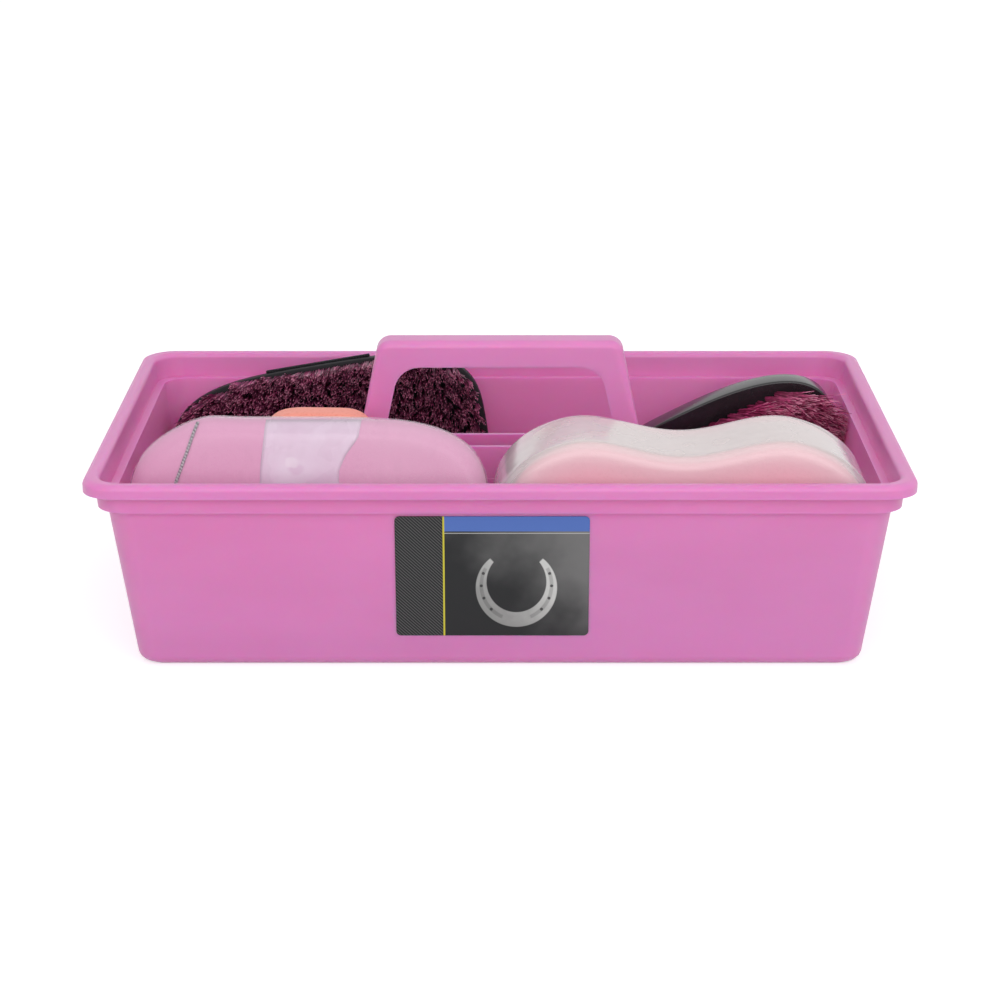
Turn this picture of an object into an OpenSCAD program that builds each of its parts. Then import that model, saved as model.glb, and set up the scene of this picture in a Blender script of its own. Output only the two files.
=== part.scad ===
// Open grooming tray with a hollow divider and handle, filled with two brushes and three sponges.
// Millimetres. Origin at the bottom centre on the table, +X right, +Y to the back, +Z up.

/* [Tray] */
// Height of the rim above the table
tray_h = 106; // [95:1:130]
// Thickness of the walls and of the divider skins
wall = 2.4; // [1.8:0.1:3]
// Thickness of the floor
floor_t = 2.6; // [2:0.1:4]
// Draft of the walls in degrees
wall_draft = 7.9; // [5:0.1:10]
// Corner radius of the rim in plan
rim_corner_r = 18; // [15:1:24]
// Loss of corner radius per millimetre of inset
corner_ease = 0.3; // [0.2:0.05:0.4]
// Width of the rim from its outer edge to the inside face
rim_w = 8; // [7:0.5:11]
// Rounding of the outer rim edge
rim_edge_r = 3.2; // [2:0.1:3.4]
// Rounding of the inner rim edge
rim_inner_r = 3; // [2:0.1:3.2]
// Drop of the skirt below the rim
skirt_drop = 7; // [5:0.5:12]
// Thickness of the skirt
skirt_t = 2.2; // [1.6:0.1:2.6]
// Depth of the upper band, from the rim to the ledge
band_h = 14; // [12:0.5:18]
// Draft of the upper band in degrees
band_draft = 4.3; // [2:0.1:6]
// Width of the ledge
ledge_w = 4.5; // [3:0.1:6]
// Outside radius between the floor and the walls
foot_r = 6; // [3:0.5:8]
// Inside radius between the floor and the walls
floor_fillet = 5; // [4:0.5:8]

/* [Divider and handle] */
// Height of the full-length divider above the table
divider_h = 72; // [62:1:80]
// Draft of the divider skins in degrees
divider_draft = 4.2; // [3:0.1:5]
// Rise of the handle above the rim
handle_rise = 42.5; // [36:0.5:50]
// Thickness of the handle at its top
handle_t = 18.6; // [16:0.2:22]
// Width of the handle at its top
handle_top_w = 136; // [126:1:146]
// Flare of the handle ends in degrees
handle_flare = 10.6; // [8:0.1:13]
// Corner radius of the handle at its top
handle_r = 8; // [6.5:0.5:12]
// Softened edge of the handle
handle_edge = 4; // [2.5:0.1:4.4]
// Step of the handle faces behind the divider faces
handle_step = 0.3; // [0.2:0.05:0.8]
// Height of the grip bar above the finger gap
grip_h = 14.5; // [12:0.5:18]
// Width of each handle leg at the sill
leg_w = 15.5; // [13:0.5:20]
// Lean of the finger gap sides in degrees
gap_lean = 7; // [5:0.5:10]
// Corner radius of the finger gap at its top
gap_r = 14; // [10:0.5:16]
// Corner radius of the finger gap at its sill
gap_sill_r = 6; // [4:0.5:8]
// Drop of the sill below the rim
sill_drop = 16; // [10:0.5:18]

/* [Front label] */
// Width of the label
label_w = 100; // [80:1:115]
// Height of the label along the wall
label_h = 69; // [55:1:72]
// Thickness of the label
label_t = 0.4; // [0.3:0.05:0.6]
// Corner radius of the label
label_r = 2.5; // [1:0.5:5]
// Sideways place of the label centre
label_x = -4; // [-20:1:20]
// Gap between the ledge and the top of the label
label_drop = 3; // [1:0.5:6]

/* [Body brush] */
// Length of the oval stock
body_l = 186; // [174:1:198]
// Width of the oval stock
body_w = 97; // [90:1:104]
// Thickness of the stock
body_t = 14; // [12:0.5:18]
// Rounding of the stock edge
body_edge_r = 3; // [2:0.5:5]
// Fullness of the oval, 2 is an ellipse
body_full = 3.3; // [2.6:0.1:3.6]
// Rise of the right end in degrees
body_tilt = 9.5; // [6:0.5:14]
// Lean against the back wall in degrees
body_lean = 8; // [6:0.5:11]
// Extra distance of the brush from the left end of the tray
body_end = 1; // [0:0.5:6]
// Length of the bristles
body_bristle = 22; // [16:1:26]
// Bare margin around the bristles
body_margin = 6; // [4:0.5:8]
// Rows of tufts
body_rows = 10; // [9:1:11]
// Tufts in a row
body_cols = 18; // [17:1:20]
// Radius of a tuft at its root
body_tuft_r = 2.5; // [2:0.1:2.8]
// Outward splay of the tufts at the edge
body_splay = 2; // [0:0.5:3]
// Width of the hand strap
strap_w = 62; // [50:1:70]
// Thickness of the hand strap
strap_t = 2.2; // [1.6:0.1:3]
// Free span of the hand strap
strap_span = 56; // [48:1:60]
// Rise of the hand strap off the stock
strap_rise = 9; // [6:0.5:12]
// Length of the strap tabs
strap_tab = 12; // [10:0.5:14]
// Radius of the strap screw shanks
screw_r = 1.5; // [1.2:0.1:2]
// Length of a screw below its head
screw_l = 9; // [7:0.5:10]

/* [Dandy brush] */
// Length of the oval stock
dandy_l = 162; // [150:1:168]
// Width of the oval stock
dandy_w = 70; // [62:1:74]
// Thickness of the stock
dandy_t = 17; // [14:0.5:20]
// Rounding of the stock edge
dandy_edge_r = 2.5; // [2:0.5:5]
// Fullness of the oval, 2 is an ellipse
dandy_full = 2.5; // [2.2:0.1:2.8]
// Rise of the right end in degrees
dandy_tilt = 26.5; // [20:0.5:28]
// Distance of the stock from the back wall foot
dandy_off = 29; // [20:0.5:34]
// Extra distance of the brush from the right end of the tray
dandy_end = 2; // [0:0.5:6]
// Length of the bristles
dandy_bristle = 32; // [26:1:36]
// Bare margin around the bristles
dandy_margin = 8; // [6:0.5:9]
// Rows of tufts
dandy_rows = 8; // [7:1:8]
// Tufts in a row
dandy_cols = 17; // [16:1:18]
// Radius of a tuft at its root
dandy_tuft_r = 1.9; // [1.6:0.1:2.2]
// Outward splay of the tufts at the edge
dandy_splay = 9; // [5:0.5:10]

/* [Sponges] */
// Length of the pink sponge
pink_l = 187; // [174:1:198]
// Height of the pink sponge
pink_h = 119; // [112:1:126]
// Thickness of the pink sponge
pink_t = 40; // [34:1:46]
// Rounding of the pink sponge edges
pink_edge_r = 10; // [7:0.5:13]
// Squareness of the pink sponge outline
pink_full = 3.4; // [3:0.1:4]
// Lean of the pink sponge in degrees
pink_lean = 14; // [10:0.5:18]
// Length of the hourglass sponge
hour_l = 196; // [182:1:206]
// Height of the hourglass sponge before the waist is drawn in
hour_h = 125; // [118:1:132]
// Thickness of the hourglass sponge
hour_t = 60; // [52:1:66]
// Rounding of the hourglass sponge edges
hour_edge_r = 7; // [5:0.5:10]
// Squareness of the hourglass outline
hour_full = 2.9; // [2.5:0.1:3.2]
// Share of the height drawn in at the waist
hour_waist = 0.19; // [0.12:0.01:0.25]
// Distance of the full height from the waist
hour_hump = 63; // [54:1:70]
// Extra distance of the hourglass sponge from the right end of the tray
hour_end = 1.5; // [0:0.5:8]
// Share by which the drafted walls press the pink sponge in at its foot
pink_press = 0.03; // [0:0.01:0.06]
// Share by which the drafted walls press the hourglass sponge in at its foot
hour_press = 0.06; // [0.02:0.01:0.08]
// Width of the tack sponge
tack_w = 66; // [58:1:76]
// Height of the tack sponge
tack_h = 113; // [104:1:118]
// Thickness of the tack sponge
tack_t = 22; // [18:1:25]
// Rounding of the tack sponge edges
tack_edge_r = 6; // [4:0.5:8]
// Squareness of the tack sponge outline
tack_full = 4.5; // [3.5:0.1:5]
// Sideways place of the tack sponge from the middle of the pink one
tack_x = 2; // [-20:1:20]

/* [Film and paper] */
// Thickness of the film wraps
film_t = 0.35; // [0.3:0.05:0.5]
// Clearance between a sponge and its film
film_gap = 0.35; // [0.3:0.05:0.6]
// Width of the film seam
seal_w = 3; // [2:0.5:4]
// Length of the film seam
seal_l = 50; // [40:1:56]
// Slant of the film seam in degrees
seal_slant = 21; // [15:1:25]
// Sideways distance of the middle of the seam from the middle of the sponge
seal_x = 66; // [60:1:68]
// Bare margin above the seam
seal_margin = 4; // [2:0.5:8]
// Width of the sponge label
tag_w = 48; // [40:1:56]
// Bare margin above and below the sponge label
tag_margin = 1.5; // [1:0.5:6]
// Distance of the sponge label from the middle of the sponge
tag_x = 0; // [-10:1:14]

/* [Fits] */
// Clearance between a loose piece and the tray
rest_gap = 0.4; // [0.35:0.05:0.8]
// Clearance between the two front sponges
sponge_gap = 1.5; // [1:0.5:6]
// Clearance between the pink sponge and the tack sponge
room_gap = 6; // [4:0.5:10]
// Joint line between pieces that are fixed together
seat_gap = 0.02; // [0.01:0.01:0.05]
// Clearance around a screw shank
screw_gap = 0.1; // [0.05:0.05:0.2]

/* [Hidden] */
$fn = 48;
eps = 0.01;
arc_steps = 4;
outline_n = 44;
slice_t = 1.6;

ledge_z = tray_h - band_h;
shelf_z = ledge_z - wall;
handle_z = tray_h + handle_rise;
sill_z = tray_h - sill_drop;
gap_top_z = handle_z - grip_h;
band_foot = rim_w + band_h * tan(band_draft);
wall_head = band_foot + ledge_w - wall / cos(wall_draft);

// Insets are measured inward from the outer edge of the rim
function wall_inset(z) = wall_head + (shelf_z - z) * tan(wall_draft);
function fillet_extra(h, r) = h >= r ? 0 : r - sqrt(max(0, r * r - (r - h) * (r - h)));
function room_inset(z) = z >= ledge_z
    ? rim_w + (tray_h - z) * tan(band_draft)
    : wall_inset(z) + wall / cos(wall_draft) + fillet_extra(max(0, z - floor_t), floor_fillet);
// The rounded inner rim edge, by the angle up its arc
function lip_z(a) = tray_h - rim_inner_r * (1 - sin(a));
function lip_inset(a) = rim_w + (tray_h - lip_z(a)) * tan(band_draft) - rim_inner_r * (1 - cos(a));
function corner_r(inset) = max(4, rim_corner_r - corner_ease * inset);

// Outlines lie in the x-z plane, counter-clockwise seen from the front
function power(v, e) = sign(v) * pow(abs(v), e);
function oval(a, b, p) = [for (i = [0 : outline_n - 1]) let (t = 360 * i / outline_n)
    [a * power(cos(t), 2 / p), b * power(sin(t), 2 / p)]];
function waisted(o, waist, hump) = [for (p = o)
    [p.x, p.y * (1 - waist / 2 * (1 + cos(180 * min(1, abs(p.x) / hump))))]];
function pressed(o, by) = [for (p = o) [p.x * (1 + by * p.y / o[floor(len(o) / 4)].y), p.y]];
function outward(o) = [for (i = [0 : len(o) - 1])
    let (d = o[(i + 1) % len(o)] - o[(i + len(o) - 1) % len(o)]) [d.y, -d.x] / norm(d)];
function grown(o, by) = let (n = outward(o)) [for (i = [0 : len(o) - 1]) o[i] + by * n[i]];
function ring(o, depth) = [for (p = o) [p.x, depth, p.y]];

// Rings of a slab with rounded edges, from the front face to the back face
function half_rings(o, t, r, grow, side) = [for (k = [0 : arc_steps]) let (f = 90 * k / arc_steps)
    ring(grown(o, grow - (r + grow) * (1 - cos(f))), side * (t / 2 - r + (r + grow) * sin(f)))];
function reversed(l) = [for (i = [len(l) - 1 : -1 : 0]) l[i]];
function slab_rings(o, t, r, grow) = concat(reversed(half_rings(o, t, r, grow, -1)),
    half_rings(o, t, r, grow, 1));
function flat(l) = [for (a = l) each a];

// Poses: turn in the plane of the piece, then lean back
function posed(p, tilt, lean) = let (x = p.x * cos(tilt) - p.z * sin(tilt),
    u = p.x * sin(tilt) + p.z * cos(tilt)) [x, p.y * cos(lean) + u * sin(lean), u * cos(lean) - p.y * sin(lean)];
function posed_all(l, tilt, lean) = [for (p = l) posed(p, tilt, lean)];
function seat_z(l) = floor_t + rest_gap - min([for (p = l) p.z]);
function span(l, i) = max([for (p = l) p[i]]) - min([for (p = l) p[i]]);

pink_o = pressed(oval(pink_l / 2, pink_h / 2, pink_full), pink_press);
hour_o = waisted(pressed(oval(hour_l / 2, hour_h / 2, hour_full), hour_press), hour_waist, hour_hump);
tack_o = oval(tack_w / 2, tack_h / 2, tack_full);
body_o = oval(body_l / 2, body_w / 2, body_full);
dandy_o = oval(dandy_l / 2, dandy_w / 2, dandy_full);
wrap_grow = film_gap + film_t;
flat_top = pink_h / 2 - pink_edge_r;
pink_pts = posed_all(flat(slab_rings(pink_o, pink_t, pink_edge_r, wrap_grow)), 0, pink_lean);
hour_pts = flat(slab_rings(hour_o, hour_t, hour_edge_r, wrap_grow));
tack_pts = flat(slab_rings(tack_o, tack_t, tack_edge_r, 0));

pink_z = seat_z(pink_pts);
hour_z = seat_z(hour_pts);
tack_z = seat_z(tack_pts);

// The tray is sized around the kit
divider_foot = handle_t / 2 + handle_z * tan(divider_draft);
front_room = span(pink_pts, 1) + room_gap + tack_t + 2 * rest_gap;
rim_d = 2 * (divider_foot + front_room + room_inset(floor_t + floor_fillet));
half_d = rim_d / 2;

// Inset of the inside end face at a depth y and a height z, with the rounded corners
function end_inset(y, z) = let (i = room_inset(z), r = corner_r(i), d = max(0, abs(y) - half_d + i + r))
    i + r - sqrt(max(0, r * r - d * d));
// Distance from the rim end to the middle of a piece that touches the end face, side 1 left, -1 right
function end_room(l, y0, z0, side) = max([for (p = l)
    rest_gap + end_inset(p.y + y0, p.z + z0) - side * p.x]);
function against_back(l, z0) = min([for (p = l) half_d - room_inset(p.z + z0) - rest_gap - p.y]);
function against_front(l, z0) = max([for (p = l) room_inset(p.z + z0) - half_d + rest_gap - p.y]);
function divider_half(z) = handle_t / 2 + (handle_z - z) * tan(divider_draft);

pink_y = against_front(pink_pts, pink_z);
hour_y = against_front(hour_pts, hour_z);
pink_stop = end_room(pink_pts, pink_y, pink_z, 1);
hour_stop = end_room(hour_pts, hour_y, hour_z, -1) + hour_end;
rim_l = pink_stop + max([for (p = pink_pts) p.x]) + sponge_gap + hour_stop - min([for (p = hour_pts) p.x]);
half_l = rim_l / 2;
pink_x = pink_stop - half_l;
hour_x = half_l - hour_stop;
tack_y = -divider_foot - rest_gap - tack_t / 2;

// Tufts stand in rows across an outline given by its half length at each height
function oval_reach(a, b, p, v) = a * pow(max(0, 1 - pow(abs(v) / b, p)), 1 / p);
function wobble(i, j, k) = sin(137.5 * i + 91.3 * j + 57.1 * k + 23 * sin(71 * i * k + 40 * j));
function body_cell(i, j) = let (b = body_w / 2 - body_margin, v = 0.94 * b * (2 * j / body_rows - 1))
    [oval_reach(body_l / 2 - body_margin, b, body_full, v) * (2 * i / body_cols - 1), v];
function dandy_cell(i, j) = let (b = dandy_w / 2 - dandy_margin, v = 0.9 * b * (2 * j / dandy_rows - 1))
    [oval_reach(dandy_l / 2 - dandy_margin, b, dandy_full, v) * (2 * i / dandy_cols - 1), v];
function cells(brush, cols, rows) = [for (j = [0 : rows]) for (i = [0 : cols])
    brush == 0 ? body_cell(i, j) : dandy_cell(i, j)];
function middle(g, cols, i, j) = let (k = j * (cols + 1) + i)
    (g[k] + g[k + 1] + g[k + cols + 1] + g[k + cols + 2]) / 4;
function tuft_ring(c, r, y, turn) = [for (a = [210, 330, 90]) [c.x + r * cos(a + turn), y, c.y + r * sin(a + turn)]];
function tuft_tip(c, half, splay, i, j) = let (s = [c.x / half.x, c.y / half.y])
    [c.x + splay * s.x * abs(s.x) + 0.7 * wobble(i, j, 1), c.y + splay * 0.4 * s.y + 0.7 * wobble(i, j, 2)];

body_g = cells(0, body_cols, body_rows);
dandy_g = cells(1, dandy_cols, dandy_rows);
body_face = -body_t / 2 - seat_gap;
dandy_face = -dandy_t / 2 - seat_gap;
strap_pts = [for (s = [-1, 1]) for (x = [-1, 1]) for (e = [0, 1])
    [x * strap_w / 2, body_t / 2 + strap_t + seat_gap + e * strap_rise, s * (1 - e) * (strap_span / 2 + strap_tab)]];
body_pts = posed_all(concat(flat(slab_rings(body_o, body_t, body_edge_r, 0)), strap_pts), body_tilt, body_lean);
dandy_tips = [for (j = [0 : dandy_rows - 1]) for (i = [0 : dandy_cols - 1])
    let (t = tuft_tip(middle(dandy_g, dandy_cols, i, j), [dandy_l / 2, dandy_w / 2], dandy_splay, i, j))
    [t.x + dandy_tuft_r, dandy_face - slice_t - dandy_bristle, t.y]];
dandy_pts = posed_all(concat(flat(slab_rings(dandy_o, dandy_t, dandy_edge_r, 0)), dandy_tips), dandy_tilt, 0);
body_z = seat_z(body_pts);
body_y = against_back(body_pts, body_z);
body_x = end_room(body_pts, body_y, body_z, 1) + body_end - half_l;
dandy_z = seat_z(dandy_pts);
dandy_y = half_d - room_inset(floor_t + floor_fillet) - dandy_off - dandy_t / 2;
dandy_x = half_l - end_room(dandy_pts, dandy_y, dandy_z, -1) - dandy_end;

// A solid through a list of rings, closed by a point at each end
module ring_solid(rings, tip_a, tip_b) {
    n = len(rings[0]);
    m = len(rings);
    last = m * n + 1;
    sides = [for (k = [0 : m - 2]) for (i = [0 : n - 1]) let (a = 1 + k * n + i, b = 1 + k * n + (i + 1) % n)
        each [[a, b, a + n], [b, b + n, a + n]]];
    ends = [for (i = [0 : n - 1]) let (j = (i + 1) % n)
        each [[0, 1 + j, 1 + i], [last, last - n + i, last - n + j]]];
    polyhedron(concat([tip_a], flat(rings), [tip_b]), concat(sides, ends));
}

module slab(o, t, r) {
    ring_solid(slab_rings(o, t, r, 0), [0, -t / 2, 0], [0, t / 2, 0]);
}

// Film over the front and edges of a slab, open at the back where its lap lies
module film(o, t, r) {
    outer = concat(reversed(half_rings(o, t, r, wrap_grow, -1)), [half_rings(o, t, r, wrap_grow, 1)[0]]);
    inner = concat(reversed(half_rings(o, t, r, film_gap, -1)), [half_rings(o, t, r, film_gap, 1)[0]]);
    ring_solid(concat(outer, reversed(inner)), [0, -t / 2 - wrap_grow, 0], [0, -t / 2 - film_gap, 0]);
}

// Tufts fused to the slice of the brush they stand in
module tufts(g, cols, rows, half, face, length, r, splay) {
    root_y = face - slice_t;
    count = len(g);
    edge = concat([for (i = [0 : cols - 1]) i], [for (j = [0 : rows - 1]) j * (cols + 1) + cols],
        [for (i = [cols : -1 : 1]) rows * (cols + 1) + i], [for (j = [rows : -1 : 1]) j * (cols + 1)]);
    back = [for (k = edge) [g[k].x, face, g[k].y]];
    strands = [for (j = [0 : rows - 1]) for (i = [0 : cols - 1])
        let (c = middle(g, cols, i, j), tip = tuft_tip(c, half, splay, i, j), turn = 20 * wobble(i, j, 3))
        each concat(tuft_ring(c, r, root_y, 0),
            tuft_ring(tip, 0.75 * r, root_y - length * (1 - 0.06 * abs(wobble(i, j, 4))), turn))];
    first = count + len(back) + 1;
    front = [for (j = [0 : rows - 1]) for (i = [0 : cols - 1])
        let (a = j * (cols + 1) + i, b = a + 1, d = a + cols + 1, c = d + 1, q = first + 6 * (j * cols + i),
            s = q + 1, p = q + 2)
        each [[a, s, b], [a, q, s], [b, s, c], [c, s, p], [c, p, d], [d, p, q], [d, q, a],
            [q, q + 3, s], [s, q + 3, s + 3], [s, s + 3, p], [p, s + 3, p + 3], [p, p + 3, q], [q, p + 3, q + 3],
            [q + 3, p + 3, s + 3]]];
    rim = [for (k = [0 : len(edge) - 1]) let (n = (k + 1) % len(edge))
        each [[edge[k], edge[n], count + k], [edge[n], count + n, count + k], [count + k, count + n, first - 1]]];
    polyhedron(concat([for (c = g) [c.x, root_y, c.y]], back, [[0, face, 0]], strands), concat(front, rim));
}

// A thin rounded plate, its upper face at z
module plate(inset, z) {
    r = corner_r(inset);
    translate([0, 0, z - eps])
        linear_extrude(eps)
            offset(r = r)
                square([rim_l - 2 * inset - 2 * r, rim_d - 2 * inset - 2 * r], center = true);
}

// The outside of the tray below its ledge, drawn in sideways by a skin thickness
module tub(skin) {
    hull() {
        for (a = [0 : 22.5 : 90])
            let (z = foot_r * (1 - sin(a)))
                plate(wall_inset(z) + foot_r * (1 - cos(a)) + skin, z + eps);
        plate(wall_head + skin, shelf_z + eps);
    }
}

module band() {
    hull() {
        plate(band_foot - wall, shelf_z + eps);
        plate(rim_w - wall, tray_h);
    }
}

module rim() {
    difference() {
        hull() {
            plate(0, tray_h - skirt_drop + eps);
            for (a = [0 : 18 : 90])
                plate(rim_edge_r * (1 - cos(a)), tray_h - rim_edge_r * (1 - sin(a)));
        }
        hull() {
            plate(skirt_t, tray_h - skirt_drop - 1);
            plate(skirt_t, tray_h - wall);
        }
    }
}

module room() {
    hull() {
        for (a = [0 : 22.5 : 90])
            let (z = floor_t + floor_fillet * (1 - sin(a)))
                plate(wall_inset(z) + wall / cos(wall_draft) + floor_fillet * (1 - cos(a)), z + eps);
        plate(band_foot + ledge_w, ledge_z + eps);
    }
    hull() {
        plate(band_foot, ledge_z + eps);
        plate(lip_inset(0), lip_z(0));
    }
    for (a = [0 : 18 : 72])
        hull() {
            plate(lip_inset(a), lip_z(a));
            plate(lip_inset(a + 18), lip_z(a + 18) + (a < 72 ? 0 : 2 * eps));
        }
}

// A box with drafted long faces between two heights
module ridge(z0, z1, half0, half1, thinner) {
    d0 = divider_half(z0) - thinner;
    d1 = divider_half(z1) - thinner;
    intersection() {
        rotate([90, 0, 90])
            linear_extrude(2 * rim_l, center = true)
                polygon([[-d0, z0], [d0, z0], [d1, z1], [-d1, z1]]);
        rotate([90, 0, 0])
            linear_extrude(rim_d, center = true)
                polygon([[-half0, z0], [half0, z0], [half1, z1], [-half1, z1]]);
    }
}

// The handle block, drawn in by a skin thickness for its hollow
module handle_block(skin) {
    top = handle_z - skin;
    foot_z = divider_h - 3 * wall;
    foot_half = handle_top_w / 2 + (handle_z - foot_z) * tan(handle_flare) - skin;
    hull() {
        for (s = [-1, 1])
            for (a = [0 : 22.5 : 90])
                translate([s * (handle_top_w / 2 - handle_r), 0, top - handle_r + skin / 2])
                    rotate([90, 0, 0])
                        cylinder(r = handle_r - skin / 2 - handle_edge * (1 - sin(a)),
                            h = handle_t - 2 * skin - 2 * handle_edge * (1 - cos(a)), center = true);
        translate([0, 0, foot_z])
            cube([2 * foot_half, 2 * (divider_half(foot_z) - handle_step - skin), eps], center = true);
    }
}

module finger_gap() {
    sill_half = handle_top_w / 2 + (handle_z - sill_z) * tan(handle_flare) - leg_w;
    top_half = sill_half - (gap_top_z - sill_z) * tan(gap_lean);
    hull() {
        for (s = [-1, 1]) {
            translate([s * (sill_half - gap_sill_r), 0, sill_z + gap_sill_r])
                rotate([90, 0, 0])
                    cylinder(r = gap_sill_r, h = rim_d / 3, center = true);
            translate([s * (top_half - gap_r), 0, gap_top_z - gap_r])
                rotate([90, 0, 0])
                    cylinder(r = gap_r, h = rim_d / 3, center = true);
        }
    }
}

module tray() {
    color([0.81, 0.45, 0.68])
        difference() {
            union() {
                difference() {
                    union() {
                        tub(0);
                        band();
                        rim();
                    }
                    room();
                }
                intersection() {
                    tub(wall / 2);
                    ridge(floor_t / 2, divider_h, half_l, half_l, 0);
                }
                handle_block(0);
            }
            ridge(-1, divider_h - wall, half_l - wall_inset(0) - foot_r - wall,
                half_l - room_inset(divider_h) - wall, wall);
            handle_block(wall);
            finger_gap();
        }
}

module front_label() {
    z = shelf_z - label_drop - label_h / 2 * cos(wall_draft);
    color([0.12, 0.13, 0.16])
        translate([label_x, wall_inset(z) - half_d, z])
            rotate([90 + wall_draft, 0, 0])
                translate([0, 0, seat_gap])
                    linear_extrude(label_t) {
                        square([label_w, label_h - 2 * label_r], center = true);
                        square([label_w - 2 * label_r, label_h], center = true);
                        for (x = [-1, 1])
                            for (y = [-1, 1])
                                translate([x * (label_w / 2 - label_r), y * (label_h / 2 - label_r)])
                                    circle(r = label_r);
                    }
}

module body_pose() {
    translate([body_x, body_y, body_z])
        rotate([-body_lean, 0, 0])
            rotate([0, -body_tilt, 0])
                children();
}

module at_screws() {
    for (z = [-1, 1])
        for (x = [-1, 1])
            translate([x * strap_w / 4, body_t / 2, z * (strap_span + strap_tab) / 2])
                rotate([-90, 0, 0])
                    children();
}

module body_brush_stock() {
    color([0.06, 0.05, 0.06])
        body_pose()
            difference() {
                slab(body_o, body_t, body_edge_r);
                at_screws()
                    translate([0, 0, -screw_l])
                        cylinder(r = screw_r + screw_gap, h = 2 * screw_l);
            }
}

module body_brush_bristles() {
    color([0.24, 0.1, 0.17])
        body_pose()
            tufts(body_g, body_cols, body_rows, [body_l / 2, body_w / 2], body_face, body_bristle,
                body_tuft_r, body_splay);
}

module body_brush_strap() {
    r = (pow(strap_span / 2, 2) + pow(strap_rise, 2)) / (2 * strap_rise);
    color([0.1, 0.1, 0.11])
        body_pose()
            difference() {
                translate([-strap_w / 2, body_t / 2 + seat_gap, 0])
                    rotate([90, 0, 90])
                        linear_extrude(strap_w) {
                            difference() {
                                translate([strap_rise - r, 0])
                                    circle(r = r + strap_t, $fn = 96);
                                translate([strap_rise - r, 0])
                                    circle(r = r, $fn = 96);
                                translate([-3 * r, -2 * r])
                                    square([3 * r, 4 * r]);
                            }
                            for (s = [-1, 1])
                                translate([strap_t / 2, s * (strap_span + strap_tab) / 2])
                                    square([strap_t, strap_tab + strap_t], center = true);
                        }
                at_screws()
                    cylinder(r = screw_r + screw_gap, h = 3 * strap_t);
            }
}

module body_brush_screws() {
    color([0.62, 0.6, 0.56])
        body_pose()
            at_screws()
                translate([0, 0, strap_t + 2 * seat_gap]) {
                    translate([0, 0, -screw_l - strap_t + 1])
                        cylinder(r = screw_r, h = screw_l + strap_t);
                    cylinder(r1 = 2 * screw_r, r2 = 1.2 * screw_r, h = screw_r);
                }
}

module dandy_pose() {
    translate([dandy_x, dandy_y, dandy_z])
        rotate([0, -dandy_tilt, 0])
            children();
}

module dandy_brush_stock() {
    color([0.07, 0.06, 0.07])
        dandy_pose()
            slab(dandy_o, dandy_t, dandy_edge_r);
}

module dandy_brush_bristles() {
    color([0.45, 0.06, 0.22])
        dandy_pose()
            tufts(dandy_g, dandy_cols, dandy_rows, [dandy_l / 2, dandy_w / 2], dandy_face, dandy_bristle,
                dandy_tuft_r, dandy_splay);
}

module pink_pose() {
    translate([pink_x, pink_y, pink_z])
        rotate([-pink_lean, 0, 0])
            children();
}

module pink_sponge() {
    color([0.89, 0.66, 0.8])
        pink_pose()
            slab(pink_o, pink_t, pink_edge_r);
}

module pink_sponge_wrap() {
    color([0.93, 0.86, 0.91])
        pink_pose()
            film(pink_o, pink_t, pink_edge_r);
}

// Thin pieces lie on the flat front of the film
module on_pink_face() {
    pink_pose()
        translate([0, -pink_t / 2 - wrap_grow - seat_gap, 0])
            rotate([90, 0, 0])
                linear_extrude(film_t)
                    children();
}

module pink_sponge_seal() {
    color([0.8, 0.78, 0.8])
        on_pink_face()
            translate([-seal_x, flat_top - seal_margin - seal_l / 2 * cos(seal_slant)])
                rotate(-seal_slant)
                    square([seal_w, seal_l], center = true);
}

module pink_sponge_label() {
    color([0.93, 0.88, 0.92])
        on_pink_face()
            translate([tag_x, 0])
                square([tag_w, 2 * (flat_top - tag_margin)], center = true);
}

module hourglass_pose() {
    translate([hour_x, hour_y, hour_z])
        children();
}

module hourglass_sponge() {
    color([0.93, 0.66, 0.74])
        hourglass_pose()
            slab(hour_o, hour_t, hour_edge_r);
}

module hourglass_sponge_wrap() {
    color([0.93, 0.88, 0.89])
        hourglass_pose()
            film(hour_o, hour_t, hour_edge_r);
}

module tack_sponge() {
    color([0.96, 0.62, 0.55])
        translate([pink_x + tack_x, tack_y, tack_z])
            slab(tack_o, tack_t, tack_edge_r);
}

tray();
front_label();
body_brush_stock();
body_brush_bristles();
body_brush_strap();
body_brush_screws();
dandy_brush_stock();
dandy_brush_bristles();
pink_sponge();
pink_sponge_wrap();
pink_sponge_seal();
pink_sponge_label();
hourglass_sponge();
hourglass_sponge_wrap();
tack_sponge();
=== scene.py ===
import math
import random

import bmesh
import bpy
import numpy as np
from mathutils import Matrix, Vector, noise
from mathutils.bvhtree import BVHTree


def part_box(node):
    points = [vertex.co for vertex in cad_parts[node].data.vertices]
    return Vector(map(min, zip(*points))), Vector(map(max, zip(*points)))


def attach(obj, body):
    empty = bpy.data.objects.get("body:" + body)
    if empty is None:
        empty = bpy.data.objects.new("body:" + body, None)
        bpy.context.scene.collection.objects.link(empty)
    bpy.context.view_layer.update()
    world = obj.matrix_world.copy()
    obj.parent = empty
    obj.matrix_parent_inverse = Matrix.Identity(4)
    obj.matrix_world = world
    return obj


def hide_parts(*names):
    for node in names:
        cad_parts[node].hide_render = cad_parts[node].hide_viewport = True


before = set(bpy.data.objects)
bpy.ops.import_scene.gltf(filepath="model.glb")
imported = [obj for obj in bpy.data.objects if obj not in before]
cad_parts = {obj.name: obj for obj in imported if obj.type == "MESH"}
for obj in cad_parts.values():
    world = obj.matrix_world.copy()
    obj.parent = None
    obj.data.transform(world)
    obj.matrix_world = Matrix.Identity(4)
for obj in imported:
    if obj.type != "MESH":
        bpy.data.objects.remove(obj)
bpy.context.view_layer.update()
scene = bpy.context.scene
mm = 0.001
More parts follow.
